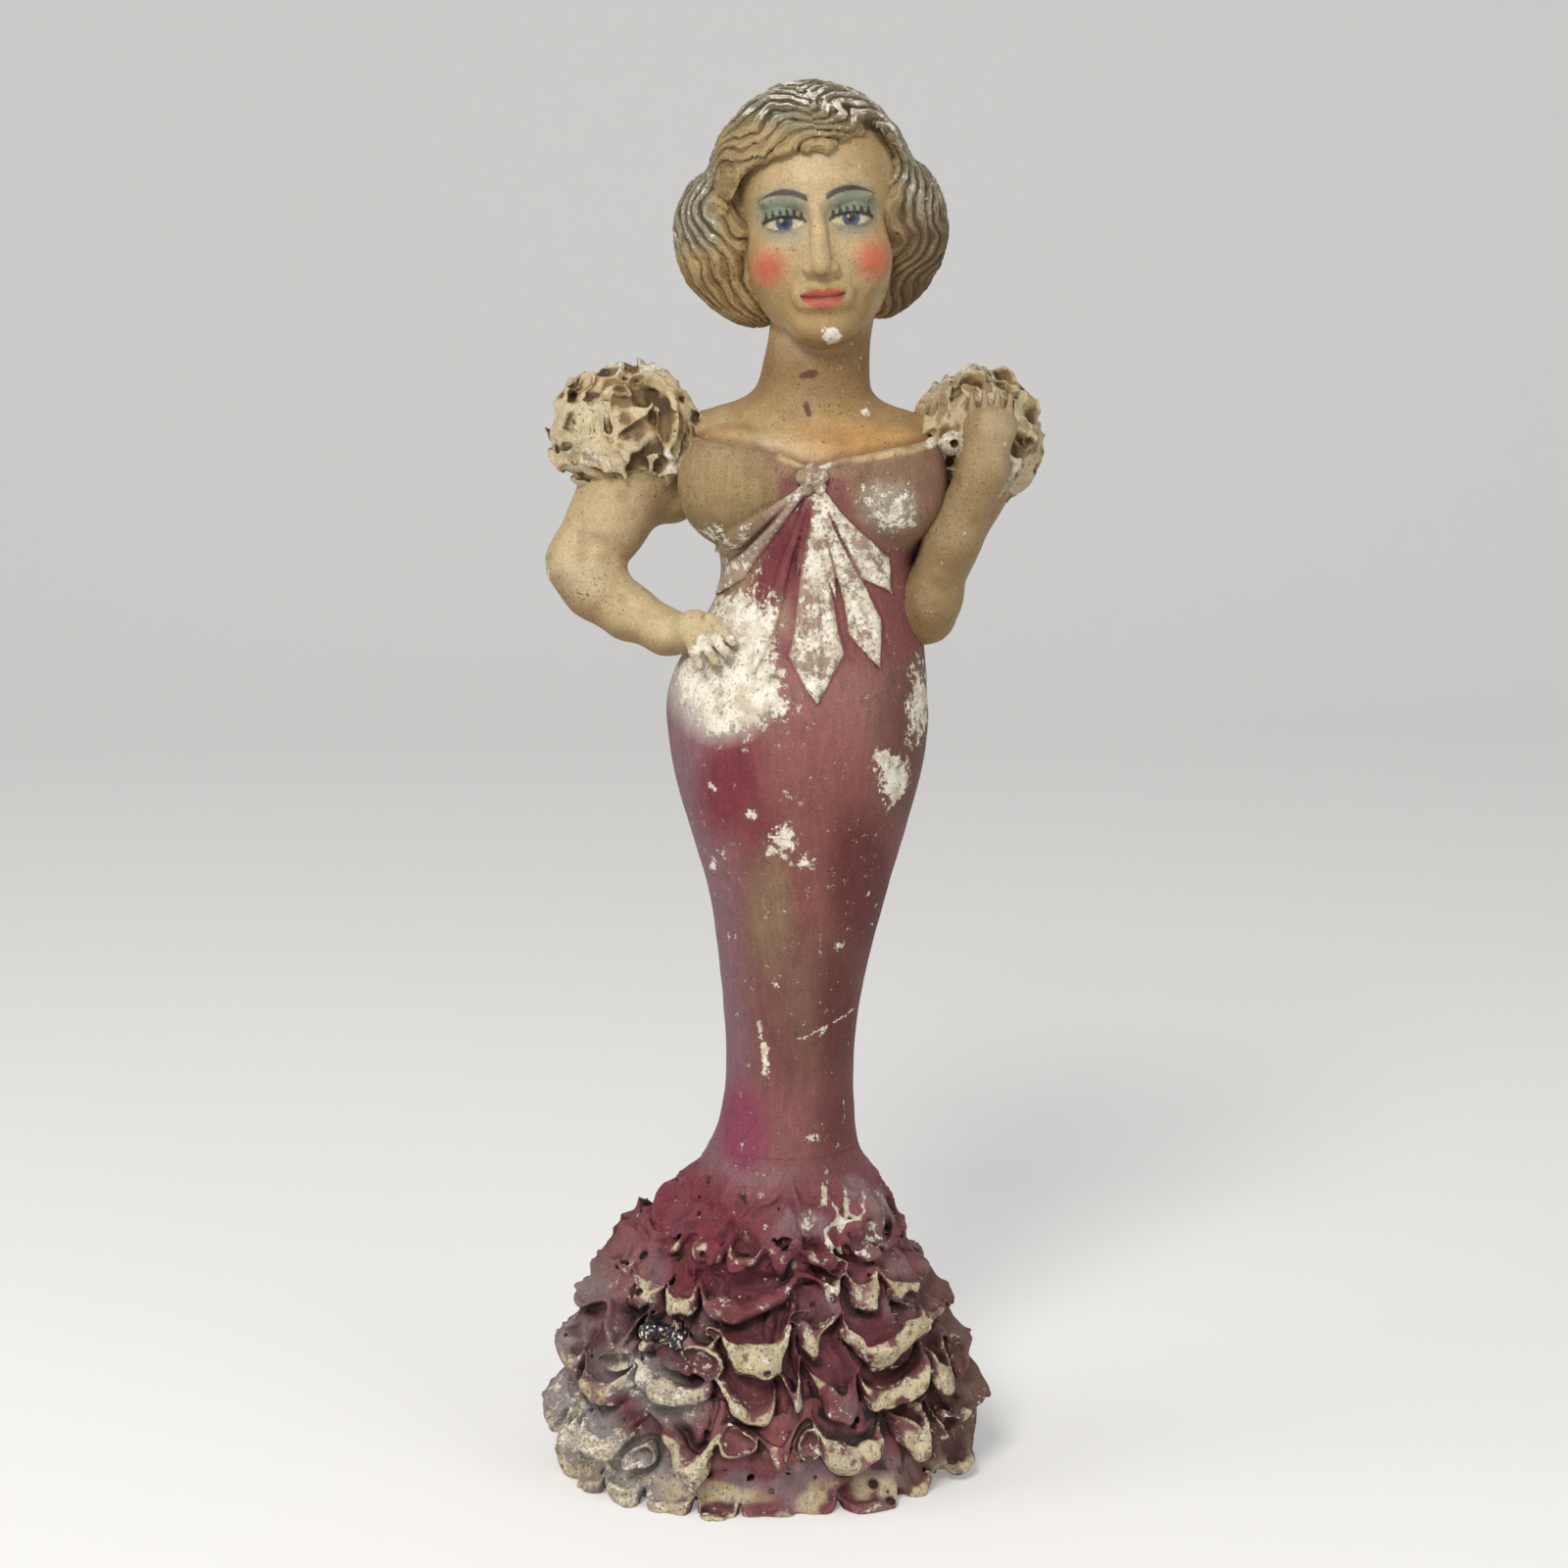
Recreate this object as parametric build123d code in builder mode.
from build123d import *

import os
from math import cos, pi, radians, sin

# A painted plaster lady in a trumpet gown with a ruffled flounce: a hollow fairground casting, open
# underneath.
#
# The figure stands on the XY plane at the centre of its foot, +Z up, and faces -Y, so its right side is
# at -X. In life it is one casting. Here each sculpted form is a solid of its own, and neighbours meet
# face to face, so that together they are the whole casting. All sizes are in millimetres.

os.makedirs("parts", exist_ok=True)

# ------------------------------------------------------------------------------------ driving dimensions

# Casting: the plaster's wall round the slush-cast hollow, and the room from the end of the hollow to the
# neckline
wall = 7.0
cavity_top_z = 236.0

# Flounce tiers, from the floor up: each runs from its own hem to the hem above it
tier_hem_z = (0.0, 17.0, 31.0, 43.0, 54.0, 65.0)
tier_x = (0.0, -1.5, -1.0, 0.0, 0.5, 1.5)
tier_half_width = (52.0, 55.0, 52.5, 48.0, 40.5, 31.0)
tier_front = (37.0, 38.0, 36.0, 33.0, 29.0, 26.0)
tier_back = (31.0, 31.5, 30.0, 27.5, 25.0, 22.0)
tier_waves = (15, 15, 14, 13, 12, 11)
wave_height = 2.4
back_wave_share = 0.4
top_wave_share = 0.3
wave_slant = 30.0
tier_phase = 67.0
front_share = 0.2
hem_tuck = 1.0
belly_share = 0.35
hem_overhang = 5.0
arch_radius = 3.4
arch_depth = 6.0
flounce_top_z = 76.0

# Gown and torso levels, from the flounce up: height, centre in X, half width, depth in front, depth behind
gown_foot_x, gown_foot_half_width, gown_foot_front, gown_foot_back = 3.0, 23.0, 22.0, 19.0
calf_z, calf_x, calf_half_width, calf_front, calf_back = 89.0, 4.8, 17.2, 17.5, 15.5
knee_z, knee_x, knee_half_width, knee_front, knee_back = 105.0, 5.9, 15.5, 15.5, 14.0
shin_z, shin_x, shin_half_width, shin_front, shin_back = 124.0, 6.5, 16.8, 17.0, 15.0
thigh_z, thigh_x, thigh_half_width, thigh_front, thigh_back = 146.0, 7.8, 20.9, 20.0, 18.0
lap_z, lap_x, lap_half_width, lap_front, lap_back = 168.0, 7.9, 26.9, 23.5, 22.5
hip_z, hip_x, hip_half_width, hip_front, hip_back = 192.0, 7.9, 32.1, 26.5, 26.5
seam_z, seam_x, seam_half_width, seam_front, seam_back = 206.0, 8.4, 31.0, 25.0, 25.0
waist_z, waist_x, waist_half_width, waist_front, waist_back = 226.0, 12.6, 24.2, 19.5, 17.5
bust_z, bust_x, bust_half_width, bust_front, bust_back = 250.0, 12.4, 28.5, 20.5, 18.5
yoke_z, yoke_x, yoke_half_width, yoke_front, yoke_back = 262.0, 11.4, 28.5, 18.0, 17.5
shoulder_z, shoulder_x, shoulder_half_width, shoulder_front, shoulder_back = 268.5, 10.8, 22.0, 14.5, 15.0
neck_z, neck_x, neck_half_width, neck_front, neck_back = 275.0, 11.6, 14.2, 11.5, 12.8

# Sweetheart neckline, which parts the gown from the bare chest: its ends, its crests over the cups, and the
# dip between them
neckline_end_z = 267.5
neckline_crest_z = 262.0
neckline_dip_z = 257.0

# Bust cups, which stand out of the bodice
cup_radius = 13.6
cup_length = 16.0
cup_y = -10.5
cup_z = 251.0
right_cup_x = -6.6
left_cup_x = 29.6

# Knot between the cups, and the folds that fan out from it, each by its angle from straight down
knot_x = 11.3
knot_radius = 2.2
petal_count = 6
petal_radius = 1.5
fold_angles = (-51.0, -34.0, -16.0, 2.0, 18.0, 34.0)
fold_lengths = (30.0, 36.0, 51.0, 55.0, 51.0, 37.0)
fold_widths = (6.5, 7.5, 9.0, 15.0, 10.5, 10.0)
fold_root_width = 2.0
fold_widest_share = 0.78
fold_height = 1.2

# Head: its frame stands at the chin and leans to the figure's right; the face follows the usual shares of
# its height
chin_x, chin_y, chin_z = 14.8, 0.0, 287.0
head_lean = 4.0
head_height = 60.0
head_half_width = 20.4
head_front = 21.5
head_back = 23.5
eye_share, brow_share, nose_share, mouth_share = 0.50, 0.575, 0.285, 0.19
eye_half_width, eye_half_height = 4.0, 2.4
nose_reach, bridge_depth, bridge_radii = 4.4, 2.6, (1.7, 2.0)
nose_tip_share, nose_tip_radius = nose_share + 0.035, 2.5
nose_wing_share, nose_wing_x, nose_wing_radius = nose_share + 0.02, 2.3, 1.8
face_share = 0.94
mouth_half_width, lip_half_height = 6.4, 1.5
upper_lip_share, lower_lip_share = mouth_share + 0.014, mouth_share - 0.022
eye_pitch = 4 * eye_half_width

# Skull, from chin to crown, all in shares of the head's sizes: height, offset in Y, half width, front and
# back
skull_shares = (
    (-0.02, -0.66, 0.24, 0.20, 0.28),
    (0.06, -0.50, 0.48, 0.48, 0.46),
    (0.19, -0.22, 0.75, 0.76, 0.74),
    (0.34, 0.0, 0.95, 1.0, 0.90),
    (0.50, 0.0, 1.0, 0.97, 1.0),
    (0.70, 0.0, 0.98, 1.0, 1.0),
    (0.86, 0.0, 0.80, 0.80, 0.82),
    (0.96, 0.0, 0.44, 0.42, 0.44),
)

# Neck: its narrowest level, and how far its column runs up inside the jaw
nape_z, nape_x, nape_half_width, nape_front, nape_back = 281.0, 12.3, 13.1, 11.0, 12.6
neck_top_z = 298.0

# Hair: a waved cap over the skull, a fringe that slants across the brow, and a full roll over each ear
# The cap's levels, from nape to crown: height share, offset in Y, shares of the head's half width, front
# and back, and of the strands' height
crown_levels = (
    (0.16, 11.0, 0.72, 0.36, 0.52, 0.33),
    (0.34, 9.0, 1.015, 0.44, 0.76, 1.0),
    (0.54, 4.5, 1.11, 0.80, 0.95, 1.0),
    (0.72, 0.5, 1.205, 1.085, 1.18, 1.0),
    (0.88, 0.0, 1.025, 1.015, 1.0, 1.0),
    (0.99, 0.0, 0.725, 0.695, 0.70, 0.44),
    (1.045, 0.0, 0.38, 0.38, 0.38, 0.22),
)
hair_waves = 11
strand_height = 0.9
strand_twist = 35.0
fringe_half_width, fringe_half_depth = 5.6, 4.2
fringe_points = ((14.0, -17.5, 51.0), (4.0, -22.0, 46.5), (-8.0, -21.5, 41.0), (-17.0, -15.5, 35.0),
                 (-21.5, -7.0, 28.0))
fringe_shares = (0.5, 0.9, 1.0, 0.9, 0.6)
head_middle_x = 13.3
roll_half_width, roll_half_depth = 12.5, 15.5
roll_x, roll_y, roll_z = -7.2, 2.5, 311.0
# The roll's levels: rise and shift towards the face in half widths, and share of its full section
roll_levels = (
    (-2.0, 0.78, 0.22),
    (-1.4, 0.46, 0.60),
    (-0.75, 0.12, 0.88),
    (0.0, 0.0, 1.0),
    (0.72, 0.04, 0.92),
    (1.35, 0.18, 0.66),
    (1.75, 0.34, 0.30),
)
groove_rises = (-9.0, -1.5, 6.0)
groove_shares = (1.08, 1.16, 1.10)
groove_slant = 20.0
groove_radius = 1.6

# Puffed sleeves: a gathered ball on each shoulder
sleeve_waves = 10
sleeve_wave_height = 1.5
sleeve_twist = 60.0
# The puff's levels: rise in half heights, and share of its full section
sleeve_levels = (
    (-1.0, 0.66),
    (-0.72, 0.86),
    (-0.3, 0.98),
    (0.15, 1.0),
    (0.6, 0.86),
    (0.9, 0.56),
    (1.0, 0.30),
)
sleeve_y = 1.0
sleeve_half_depth = 14.5
right_sleeve_x, right_sleeve_z, right_sleeve_half_width, right_sleeve_half_height = -34.6, 265.0, 16.2, 16.0
left_sleeve_x, left_sleeve_z, left_sleeve_half_width, left_sleeve_half_height = 51.8, 263.5, 14.6, 16.0

# Arms: points on each limb's axis, with the limb's half width and half depth there
right_shoulder_at, right_shoulder_size = (-32.0, 1.0, 254.0), (12.2, 9.0)
right_elbow_at, right_elbow_size = (-44.8, 0.0, 232.6), (9.8, 8.0)
right_forearm_at, right_forearm_size = (-34.6, -3.0, 222.0), (7.4, 6.8)
right_wrist_at, right_wrist_size = (-23.0, -5.0, 215.4), (5.8, 4.8)
right_knuckle_at, right_knuckle_size = (-16.6, -11.0, 215.8), (4.4, 2.8)
right_finger_toward, right_finger_across = (0.58, -0.50, -0.64), (0.68, 0.0, 0.73)
left_shoulder_at, left_shoulder_size = (50.0, 2.0, 252.0), (9.0, 9.0)
left_elbow_tip_at, left_elbow_tip_size = (39.4, -2.5, 212.4), (4.2, 5.0)
left_elbow_at, left_elbow_size = (40.8, -3.0, 218.5), (7.2, 8.4)
upper_arm_share = 0.9
left_forearm_at, left_forearm_size = (46.6, -12.5, 238.0), (7.2, 6.6)
left_wrist_at, left_wrist_size = (53.4, -17.0, 257.5), (5.6, 4.4)
left_knuckle_at, left_knuckle_size = (55.0, -17.6, 266.5), (5.6, 2.8)
left_finger_toward, left_finger_across = (0.02, 0.10, 1.0), (1.0, 0.0, 0.0)
finger_count = 4
finger_radius = 1.5
finger_tip_radius = 1.1
finger_length = 8.5
finger_pitch = 2.5
finger_fan = 0.25
finger_root = 2.0
hand_root, hand_root_share = 1.0, 0.6

# Glitter shaken on to wet glue, as clumps between the ruffles: place in X and the tier that each lies on
clump_x = (-31.0, -21.5, 24.0)
clump_tier = (2, 2, 0)
clump_radius = 3.4


# --------------------------------------------------------------------------------------- shared sections

def oval(plane, x, y, half_width, front, back):
    """A closed oval on a plane: two half ellipses that share their width."""
    with BuildSketch(plane) as section:
        with BuildLine():
            EllipticalCenterArc((x, y), half_width, front, 180, arc_size=180)
            EllipticalCenterArc((x, y), half_width, back, 0, arc_size=180)
        make_face()
    return section.sketch


def wavy_oval(plane, x, y, half_width, front, back, waves, height, phase, back_share=1.0):
    """The same oval with waves round its rim, which are lower behind than in front."""
    count = 4 * waves
    points = []
    for step in range(count):
        angle = 2 * pi * step / count
        depth = front if sin(angle) < 0 else back
        share = back_share + (1 - back_share) * (0.5 - 0.5 * sin(angle))
        reach = height * share * sin(waves * angle + radians(phase))
        points.append((x + (half_width + reach) * cos(angle), y + (depth + reach) * sin(angle)))
    with BuildSketch(plane) as section:
        with BuildLine():
            Spline(*points, periodic=True)
        make_face()
    return section.sketch


def level(z):
    return Plane.XY.offset(z)


def ellipse_on(plane, half_width, half_depth):
    with BuildSketch(plane) as section:
        Ellipse(half_width, half_depth)
    return section.sketch


def ellipse_across(points, index, half_width, half_depth):
    """A limb's oval section at one point of its axis, square to the axis there, width seen from in front."""
    steps = [(end - start).normalized() for start, end in zip(points, points[1:])]
    along = steps[max(index - 1, 0)] + steps[min(index, len(steps) - 1)]
    plane = Plane(points[index], x_dir=Vector(0, 1, 0).cross(along), z_dir=along)
    return ellipse_on(plane, half_width, half_depth)


# -------------------------------------------------------------------- cavity and body, cut up further on

body_levels = (
    (flounce_top_z, gown_foot_x, gown_foot_half_width, gown_foot_front, gown_foot_back),
    (calf_z, calf_x, calf_half_width, calf_front, calf_back),
    (knee_z, knee_x, knee_half_width, knee_front, knee_back),
    (shin_z, shin_x, shin_half_width, shin_front, shin_back),
    (thigh_z, thigh_x, thigh_half_width, thigh_front, thigh_back),
    (lap_z, lap_x, lap_half_width, lap_front, lap_back),
    (hip_z, hip_x, hip_half_width, hip_front, hip_back),
    (seam_z, seam_x, seam_half_width, seam_front, seam_back),
    (waist_z, waist_x, waist_half_width, waist_front, waist_back),
    (bust_z, bust_x, bust_half_width, bust_front, bust_back),
    (yoke_z, yoke_x, yoke_half_width, yoke_front, yoke_back),
    (shoulder_z, shoulder_x, shoulder_half_width, shoulder_front, shoulder_back),
    (neck_z, neck_x, neck_half_width, neck_front, neck_back),
)


def body_form(grow):
    """The gown and torso from the flounce to the neck, grown all round by a given thickness."""
    sections = [
        oval(level(z), x, 0, half_width + grow, front + grow, back + grow)
        for z, x, half_width, front, back in body_levels
    ]
    with BuildPart() as form:
        loft(sections)
    return form.part


def cup_form(x, grow):
    """One bust cup: an egg that points forward."""
    centre = (x, cup_y, cup_z)
    with BuildPart() as form:
        with BuildSketch(Plane(centre)):
            with BuildLine():
                EllipticalCenterArc((0, 0), cup_radius + grow, cup_length + grow, -90, arc_size=180)
                Line((0, cup_length + grow), (0, -cup_length - grow))
            make_face()
        revolve(axis=Axis(centre, (0, 1, 0)))
    return form.part


body = body_form(0)
right_cup_egg = cup_form(right_cup_x, 0)
left_cup_egg = cup_form(left_cup_x, 0)

# The hollow follows the outside, one wall in; under the tiers it clears their waves too
tier_inset = wall + hem_overhang
cavity_sections = [
    oval(level(tier_hem_z[tier]), tier_x[tier], 0, tier_half_width[tier] - tier_inset,
         tier_front[tier] - tier_inset, tier_back[tier] - tier_inset)
    for tier in range(len(tier_hem_z) - 1)
]
cavity_sections += [
    oval(level(z), x, 0, half_width - wall, front - wall, back - wall)
    for z, x, half_width, front, back in body_levels
    if z < cavity_top_z
]
cavity_sections.append(oval(level(cavity_top_z), waist_x, 0, waist_half_width - 2 * wall,
                            waist_front - 2 * wall, waist_back - 2 * wall))
with BuildPart() as cavity:
    loft(cavity_sections)

# ------------------------------------------------------------------------------------------- the flounce


def arch_planes(tier):
    """Where a hem draws back between two waves, in front and at the sides, each plane facing square out."""
    waves = tier_waves[tier]
    planes = []
    for wave in range(waves):
        angle = radians((360 * wave + 270 - tier_phase * tier) / waves)
        if sin(angle) < front_share:
            depth = tier_front[tier]
            rim = (tier_x[tier] + tier_half_width[tier] * cos(angle), depth * sin(angle), tier_hem_z[tier])
            planes.append(Plane(rim, z_dir=(cos(angle) / tier_half_width[tier], sin(angle) / depth, 0)))
    return planes


tier_count = len(tier_hem_z)
tier_top_z = tier_hem_z[1:] + (flounce_top_z,)
tiers = []
for tier in range(tier_count):
    hem_z, top_z = tier_hem_z[tier], tier_top_z[tier]
    x, half_width, front, back = tier_x[tier], tier_half_width[tier], tier_front[tier], tier_back[tier]
    if tier + 1 < tier_count:
        above = tier + 1
        top = (tier_x[above], 0, tier_half_width[above] - hem_overhang, tier_front[above] - hem_overhang,
               tier_back[above] - hem_overhang)
    else:
        top = (gown_foot_x, 0, gown_foot_half_width, gown_foot_front, gown_foot_back)
    belly_z = hem_z + belly_share * (top_z - hem_z)
    waves, phase = tier_waves[tier], tier_phase * tier
    with BuildPart() as ruffle_tier:
        loft([
            wavy_oval(level(hem_z), x, 0, half_width - hem_tuck, front - hem_tuck, back - hem_tuck, waves,
                      wave_height, phase, back_wave_share),
            wavy_oval(level(belly_z), x, 0, half_width, front, back, waves, wave_height, phase + wave_slant,
                      back_wave_share),
            wavy_oval(level(top_z), *top, waves, top_wave_share * wave_height, phase + 2 * wave_slant,
                      back_wave_share),
        ])
        if tier > 0:
            with Locations(*arch_planes(tier)):
                Cylinder(arch_radius, 2 * arch_depth, mode=Mode.SUBTRACT)
        add(cavity.part, mode=Mode.SUBTRACT)
    ruffle_tier.part.label = f"ruffle_tier_{tier + 1}"
    export_step(ruffle_tier.part, f"parts/ruffle_tier_{tier + 1}.step")
    tiers.append(ruffle_tier.part)

# ----------------------------------------------------------------------------- gown, bodice, chest, cups

with BuildPart() as neckline_cutter:
    with BuildSketch(Plane.XZ):
        with BuildLine():
            rim = Spline((right_cup_x - 2 * cup_radius, neckline_end_z), (right_cup_x, neckline_crest_z),
                         (knot_x, neckline_dip_z), (left_cup_x, neckline_crest_z),
                         (left_cup_x + 2 * cup_radius, neckline_end_z))
            Polyline(rim @ 1, ((rim @ 1).X, seam_z), ((rim @ 0).X, seam_z), rim @ 0)
        make_face()
    extrude(amount=2 * hip_front, both=True)
gown_zone = neckline_cutter.part

with BuildPart() as gown_skirt:
    add(body)
    split(bisect_by=level(seam_z), keep=Keep.BOTTOM)
    add(cavity.part, mode=Mode.SUBTRACT)
gown_skirt.part.label = "gown_skirt"
export_step(gown_skirt.part, "parts/gown_skirt.step")

with BuildPart() as bodice:
    add(body)
    add(gown_zone, mode=Mode.INTERSECT)
    add(cavity.part, mode=Mode.SUBTRACT)
bodice.part.label = "bodice"
export_step(bodice.part, "parts/bodice.step")

with BuildPart() as right_cup:
    add(right_cup_egg)
    add(gown_zone, mode=Mode.INTERSECT)
    add(body, mode=Mode.SUBTRACT)
right_cup.part.label = "right_cup"
export_step(right_cup.part, "parts/right_cup.step")

with BuildPart() as left_cup:
    add(left_cup_egg)
    add(gown_zone, mode=Mode.INTERSECT)
    add(body, mode=Mode.SUBTRACT)
left_cup.part.label = "left_cup"
export_step(left_cup.part, "parts/left_cup.step")

with BuildPart() as chest:
    add(body)
    split(bisect_by=level(seam_z))
    add(right_cup_egg)
    add(left_cup_egg)
    add(gown_zone, mode=Mode.SUBTRACT)
chest.part.label = "chest"
export_step(chest.part, "parts/chest.step")

with BuildPart() as torso:
    add(body)
    add(right_cup_egg)
    add(left_cup_egg)

# ------------------------------------------------------------------------------- gathered folds and knot

# Each fold is a kite that starts at the knot and ends in a point; together they fan out below it
knot_z = neckline_dip_z - knot_radius
with BuildPart() as gathered_folds:
    with BuildSketch(Plane.XZ):
        for angle, length, width in zip(fold_angles, fold_lengths, fold_widths):
            down = Vector(sin(radians(angle)), -cos(radians(angle)))
            side = Vector(down.Y, -down.X)
            start = Vector(knot_x, knot_z)
            widest = start + down * fold_widest_share * length
            with BuildLine():
                Polyline(start - side * fold_root_width / 2, widest - side * width / 2,
                         start + down * length, widest + side * width / 2,
                         start + side * fold_root_width / 2, close=True)
            make_face()
    extrude(amount=2 * hip_front)
    with BuildPart(mode=Mode.PRIVATE) as raised_torso:
        add(body_form(fold_height))
        add(cup_form(right_cup_x, fold_height))
        add(cup_form(left_cup_x, fold_height))
    add(raised_torso.part, mode=Mode.INTERSECT)
    add(torso.part, mode=Mode.SUBTRACT)
gathered_folds.part.label = "gathered_folds"
export_step(gathered_folds.part, "parts/gathered_folds.step")

knot_y = -bust_front - 0.5 * knot_radius
with BuildPart() as bodice_knot:
    with Locations((knot_x, knot_y, knot_z)):
        Sphere(knot_radius)
    with Locations(Plane((knot_x, knot_y - 0.3 * knot_radius, knot_z), z_dir=(0, -1, 0))):
        with PolarLocations(knot_radius, petal_count):
            Sphere(petal_radius)
    add(torso.part, mode=Mode.SUBTRACT)
    add(gathered_folds.part, mode=Mode.SUBTRACT)
bodice_knot.part.label = "bodice_knot"
export_step(bodice_knot.part, "parts/bodice_knot.step")

# ----------------------------------------------------------------------------------- head, neck and hair

head_frame = Plane((chin_x, chin_y, chin_z), x_dir=(cos(radians(head_lean)), 0, sin(radians(head_lean))),
                   z_dir=(-sin(radians(head_lean)), 0, cos(radians(head_lean))))


def head_level(share):
    return head_frame.offset(share * head_height)


def spindle(x, share, half_width, half_height):
    """A lip, or an eyeball in its lids: a long egg lying across the face."""
    centre = head_level(share).from_local_coords(Vector(x, -face_depth(x), 0))
    with BuildPart() as form:
        with BuildSketch(Plane(centre, x_dir=head_frame.x_dir, z_dir=head_frame.z_dir)):
            with BuildLine():
                EllipticalCenterArc((0, 0), half_width, half_height, 0, arc_size=180)
                Line((-half_width, 0), (half_width, 0))
            make_face()
        revolve(axis=Axis(centre, head_frame.x_dir))
    return form.part


def face_depth(x):
    """How far the face stands forward, a little way in from its surface, at a distance from its middle."""
    return face_share * head_front * (1 - (x / head_half_width) ** 2) ** 0.5


def face_point(x, ahead, share):
    """A point on the head, so far ahead of the front of the face, at a share of the head's height."""
    return Vector(head_level(share).from_local_coords(Vector(x, -head_front - ahead, 0)))


with BuildPart() as skull:
    loft([
        oval(head_level(height), 0, ahead * head_front, side * head_half_width, front * head_front,
             back * head_back)
        for height, ahead, side, front, back in skull_shares
    ])

with BuildPart() as head:
    add(skull.part)
    # The nose: a bridge that widens down to a round tip between two wings
    bridge = [face_point(0, -bridge_depth, brow_share), face_point(0, 0.45 * nose_reach, nose_tip_share)]
    loft([ellipse_across(bridge, index, radius, radius) for index, radius in enumerate(bridge_radii)])
    with Locations(bridge[1]):
        Sphere(nose_tip_radius)
    with Locations(*[face_point(x, -0.1 * nose_reach, nose_wing_share) for x in (-nose_wing_x, nose_wing_x)]):
        Sphere(nose_wing_radius)
    # Two closed lips, and the eyes in their lids
    add(spindle(0, upper_lip_share, mouth_half_width, lip_half_height))
    add(spindle(0, lower_lip_share, 0.75 * mouth_half_width, lip_half_height))
    add(spindle(-eye_pitch / 2, eye_share, eye_half_width, eye_half_height))
    add(spindle(eye_pitch / 2, eye_share, eye_half_width, eye_half_height))
head.part.label = "head"
export_step(head.part, "parts/head.step")

with BuildPart() as neck:
    loft([
        oval(level(neck_z), neck_x, 0, neck_half_width, neck_front, neck_back),
        oval(level(nape_z), nape_x, 0, nape_half_width, nape_front, nape_back),
        oval(level(neck_top_z), chin_x, 0, nape_half_width, nape_front, nape_back),
    ])
    add(skull.part, mode=Mode.SUBTRACT)
neck.part.label = "neck"
export_step(neck.part, "parts/neck.step")

with BuildPart() as hair_crown:
    loft([
        wavy_oval(head_level(height), 0, y, side * head_half_width, front * head_front, back * head_back,
                  hair_waves, strands * strand_height, strand_twist * turn)
        for turn, (height, y, side, front, back, strands) in enumerate(crown_levels)
    ])
    add(skull.part, mode=Mode.SUBTRACT)
    add(neck.part, mode=Mode.SUBTRACT)
hair_crown.part.label = "hair_crown"
export_step(hair_crown.part, "parts/hair_crown.step")

# The roll over the figure's right ear; the left one mirrors it about the head's middle
with BuildPart() as right_roll_form:
    loft([
        oval(level(roll_z + rise * roll_half_width), roll_x + inward * roll_half_width, roll_y,
             share * roll_half_width, share * roll_half_depth, share * roll_half_depth)
        for rise, inward, share in roll_levels
    ])
    # Finger waves, pressed into the roll as slanting grooves
    for rise, share in zip(groove_rises, groove_shares):
        slant = radians(groove_slant)
        with Locations(Plane((roll_x, roll_y, roll_z + rise), z_dir=(sin(slant), 0, cos(slant)))):
            Torus(share * roll_half_width + 0.4 * groove_radius, groove_radius, mode=Mode.SUBTRACT)

with BuildPart() as hair_right_roll:
    add(right_roll_form.part)
    add(skull.part, mode=Mode.SUBTRACT)
    add(hair_crown.part, mode=Mode.SUBTRACT)
    add(neck.part, mode=Mode.SUBTRACT)
hair_right_roll.part.label = "hair_right_roll"
export_step(hair_right_roll.part, "parts/hair_right_roll.step")

with BuildPart() as hair_left_roll:
    mirror(right_roll_form.part, about=Plane.YZ.offset(head_middle_x))
    add(skull.part, mode=Mode.SUBTRACT)
    add(hair_crown.part, mode=Mode.SUBTRACT)
    add(neck.part, mode=Mode.SUBTRACT)
hair_left_roll.part.label = "hair_left_roll"
export_step(hair_left_roll.part, "parts/hair_left_roll.step")

# The fringe: one thick lock that slants down across the brow from the parting to the right temple
fringe_path = [head_frame.from_local_coords(point) for point in fringe_points]
with BuildPart() as hair_fringe:
    loft([
        ellipse_across(fringe_path, index, share * fringe_half_width, share * fringe_half_depth)
        for index, share in enumerate(fringe_shares)
    ])
    for other in (skull, hair_crown, hair_right_roll):
        add(other.part, mode=Mode.SUBTRACT)
hair_fringe.part.label = "hair_fringe"
export_step(hair_fringe.part, "parts/hair_fringe.step")

# ---------------------------------------------------------------------------------- arms, hands, sleeves

torso_pieces = (bodice, right_cup, left_cup, chest)


def limb(points, sizes, first=0, last=None):
    """A limb through the points on its axis, oval at each, from the first that it takes to the last."""
    sections = [ellipse_across(points, index, *size) for index, size in enumerate(sizes)]
    with BuildPart() as form:
        loft(sections[first:last])
    return form.part


def hand(wrist_at, wrist_size, knuckle_at, knuckle_size, toward, across):
    """A flat hand: a palm rooted in the wrist, and a row of fingers that spread a little to their tips."""
    wrist_at, knuckle_at = Vector(wrist_at), Vector(knuckle_at)
    toward, across = Vector(toward).normalized(), Vector(across).normalized()
    along = (knuckle_at - wrist_at).normalized()
    root_size = (hand_root_share * wrist_size[0], hand_root_share * wrist_size[1])
    with BuildPart() as form:
        loft([
            ellipse_on(Plane(wrist_at - along * hand_root, x_dir=across, z_dir=along), *root_size),
            ellipse_on(Plane(wrist_at + along * hand_root, x_dir=across, z_dir=along), *wrist_size),
            ellipse_on(Plane(knuckle_at, x_dir=across, z_dir=toward), *knuckle_size),
        ])
        for finger in range(finger_count):
            place = finger - (finger_count - 1) / 2
            root = knuckle_at + across * place * finger_pitch - toward * finger_root
            reach = toward + across * place * finger_fan / 2
            tip = root + reach * finger_length
            with Locations(Plane(root, z_dir=reach)):
                Cone(finger_radius, finger_tip_radius, (tip - root).length,
                     align=(Align.CENTER, Align.CENTER, Align.MIN))
            with Locations(tip):
                Sphere(finger_tip_radius)
    return form.part


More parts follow.
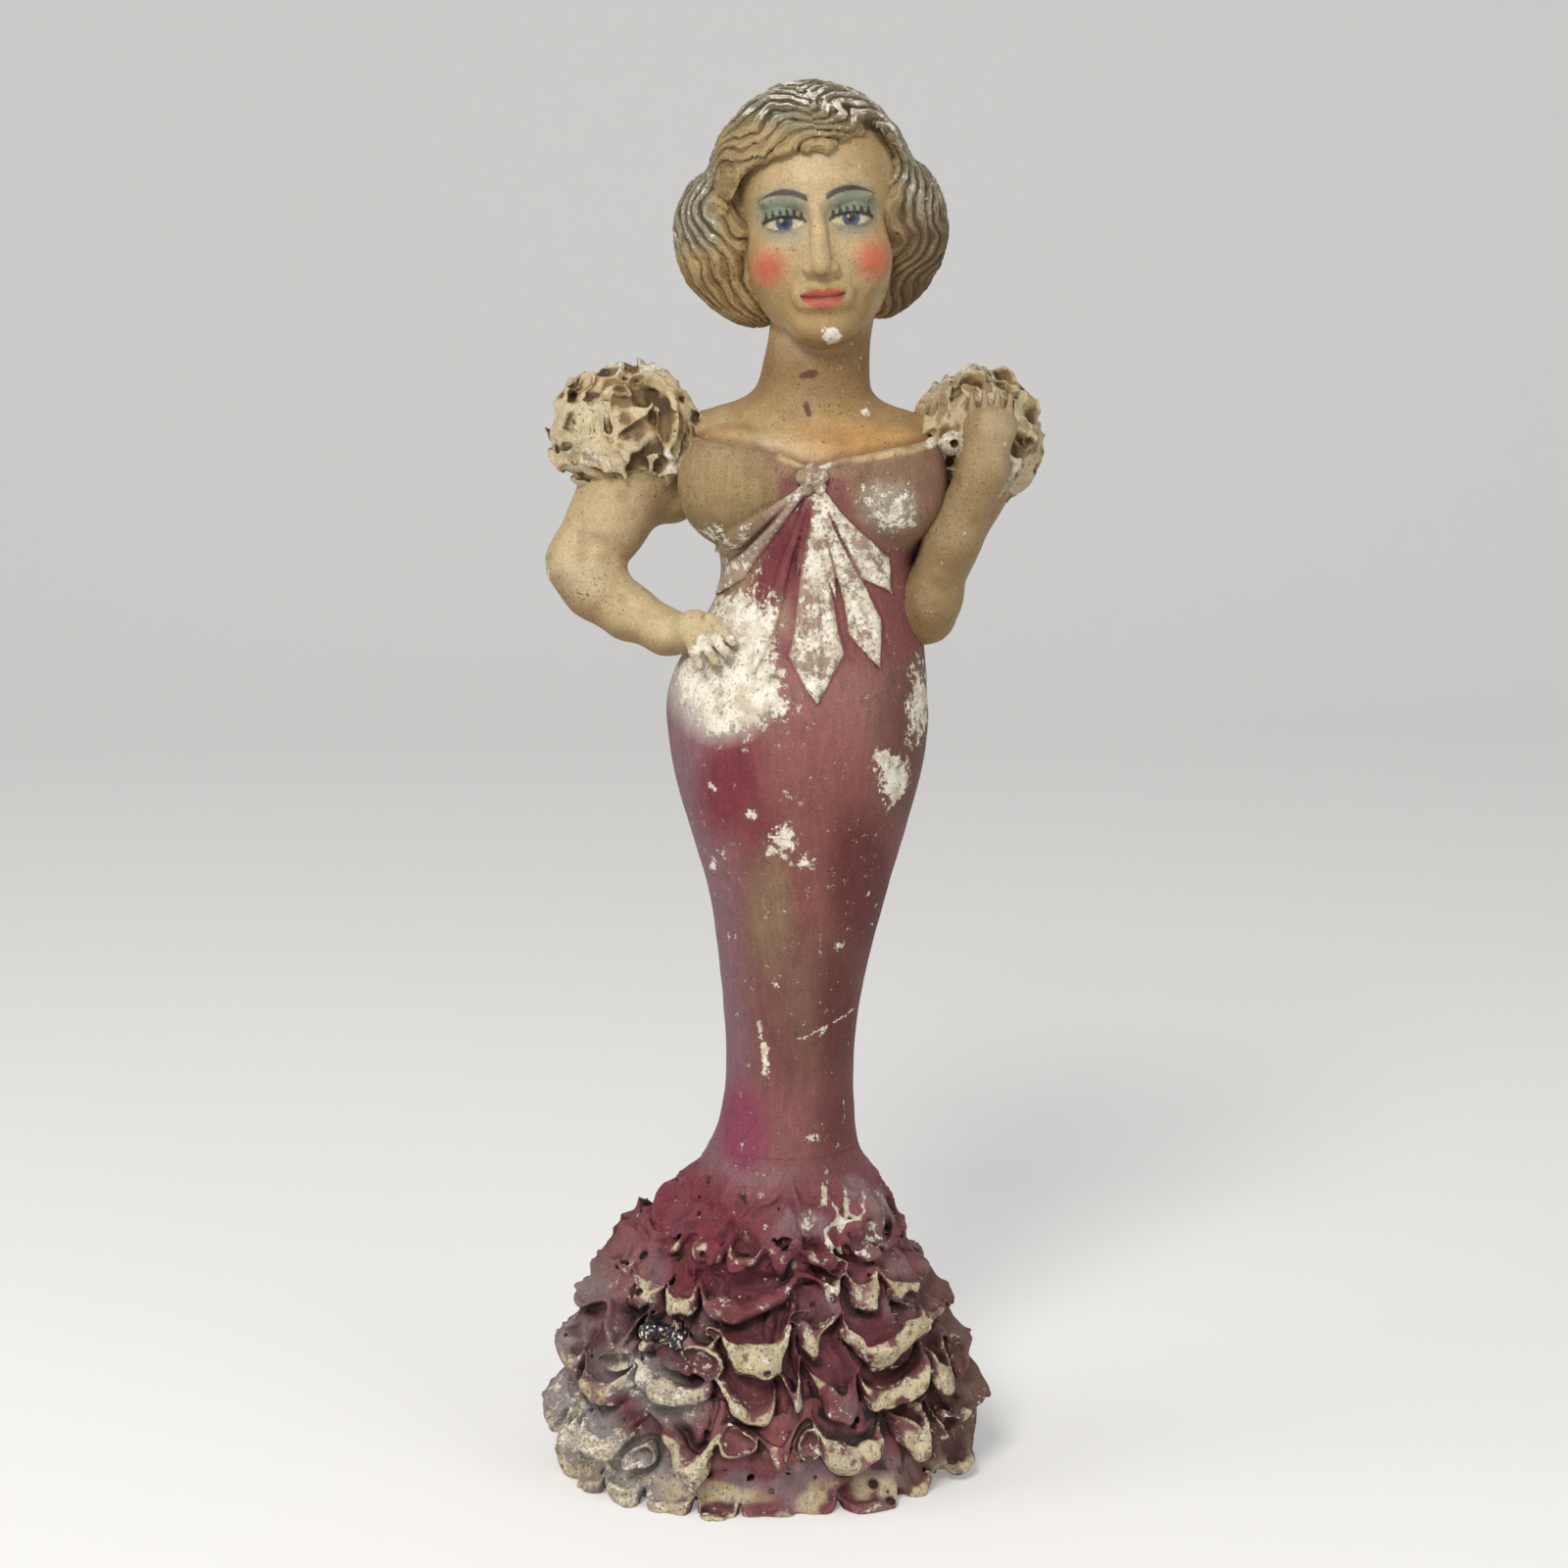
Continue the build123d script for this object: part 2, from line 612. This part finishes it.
def puffed_sleeve(x, z, half_width, half_height, phase):
    """A gathered ball, fluted from its cuff to the shoulder seam."""
    with BuildPart() as form:
        loft([
            wavy_oval(level(z + rise * half_height), x, sleeve_y, share * half_width,
                      share * sleeve_half_depth, share * sleeve_half_depth, sleeve_waves,
                      sleeve_wave_height * share, phase + sleeve_twist * rise)
            for rise, share in sleeve_levels
        ])
    return form.part


with BuildPart() as right_sleeve:
    add(puffed_sleeve(right_sleeve_x, right_sleeve_z, right_sleeve_half_width, right_sleeve_half_height, 0))
    for other in torso_pieces:
        add(other.part, mode=Mode.SUBTRACT)
right_sleeve.part.label = "right_sleeve"
export_step(right_sleeve.part, "parts/right_sleeve.step")

with BuildPart() as left_sleeve:
    add(puffed_sleeve(left_sleeve_x, left_sleeve_z, left_sleeve_half_width, left_sleeve_half_height, 40))
    for other in torso_pieces:
        add(other.part, mode=Mode.SUBTRACT)
left_sleeve.part.label = "left_sleeve"
export_step(left_sleeve.part, "parts/left_sleeve.step")

# The upper arm and the forearm share the oval at the elbow
right_arm_points = [Vector(right_shoulder_at), Vector(right_elbow_at), Vector(right_forearm_at),
                    Vector(right_wrist_at)]
right_arm_sizes = (right_shoulder_size, right_elbow_size, right_forearm_size, right_wrist_size)
with BuildPart() as right_upper_arm:
    add(limb(right_arm_points, right_arm_sizes, last=2))
    for other in (*torso_pieces, right_sleeve):
        add(other.part, mode=Mode.SUBTRACT)
right_upper_arm.part.label = "right_upper_arm"
export_step(right_upper_arm.part, "parts/right_upper_arm.step")

with BuildPart() as right_forearm:
    add(limb(right_arm_points, right_arm_sizes, first=1))
    for other in (*torso_pieces, right_upper_arm):
        add(other.part, mode=Mode.SUBTRACT)
right_forearm.part.label = "right_forearm"
export_step(right_forearm.part, "parts/right_forearm.step")

with BuildPart() as right_hand:
    add(hand(right_wrist_at, right_wrist_size, right_knuckle_at, right_knuckle_size, right_finger_toward,
             right_finger_across))
    for other in (*torso_pieces, right_forearm):
        add(other.part, mode=Mode.SUBTRACT)
right_hand.part.label = "right_hand"
export_step(right_hand.part, "parts/right_hand.step")

left_upper_arm_size = (upper_arm_share * left_elbow_size[0], upper_arm_share * left_elbow_size[1])
with BuildPart() as left_upper_arm:
    add(limb([Vector(left_shoulder_at), Vector(left_elbow_at)], (left_shoulder_size, left_upper_arm_size)))
    for other in (*torso_pieces, left_sleeve):
        add(other.part, mode=Mode.SUBTRACT)
left_upper_arm.part.label = "left_upper_arm"
export_step(left_upper_arm.part, "parts/left_upper_arm.step")

left_forearm_points = [Vector(left_elbow_tip_at), Vector(left_elbow_at), Vector(left_forearm_at),
                       Vector(left_wrist_at)]
left_forearm_sizes = (left_elbow_tip_size, left_elbow_size, left_forearm_size, left_wrist_size)
with BuildPart() as left_forearm:
    add(limb(left_forearm_points, left_forearm_sizes))
    for other in (*torso_pieces, left_sleeve, left_upper_arm):
        add(other.part, mode=Mode.SUBTRACT)
left_forearm.part.label = "left_forearm"
export_step(left_forearm.part, "parts/left_forearm.step")

with BuildPart() as left_hand:
    add(hand(left_wrist_at, left_wrist_size, left_knuckle_at, left_knuckle_size, left_finger_toward,
             left_finger_across))
    for other in (left_sleeve, left_forearm):
        add(other.part, mode=Mode.SUBTRACT)
left_hand.part.label = "left_hand"
export_step(left_hand.part, "parts/left_hand.step")

# ---------------------------------------------------------------------------------------- glitter clumps

with BuildPart() as glitter_clumps:
    for x, tier in zip(clump_x, clump_tier):
        along = (x - tier_x[tier]) / tier_half_width[tier]
        with Locations((x, -tier_front[tier] * (1 - along ** 2) ** 0.5, tier_top_z[tier])):
            Sphere(clump_radius)
    for tier in tiers:
        add(tier, mode=Mode.SUBTRACT)
glitter_clumps.part.label = "glitter_clumps"
export_step(glitter_clumps.part, "parts/glitter_clumps.step")
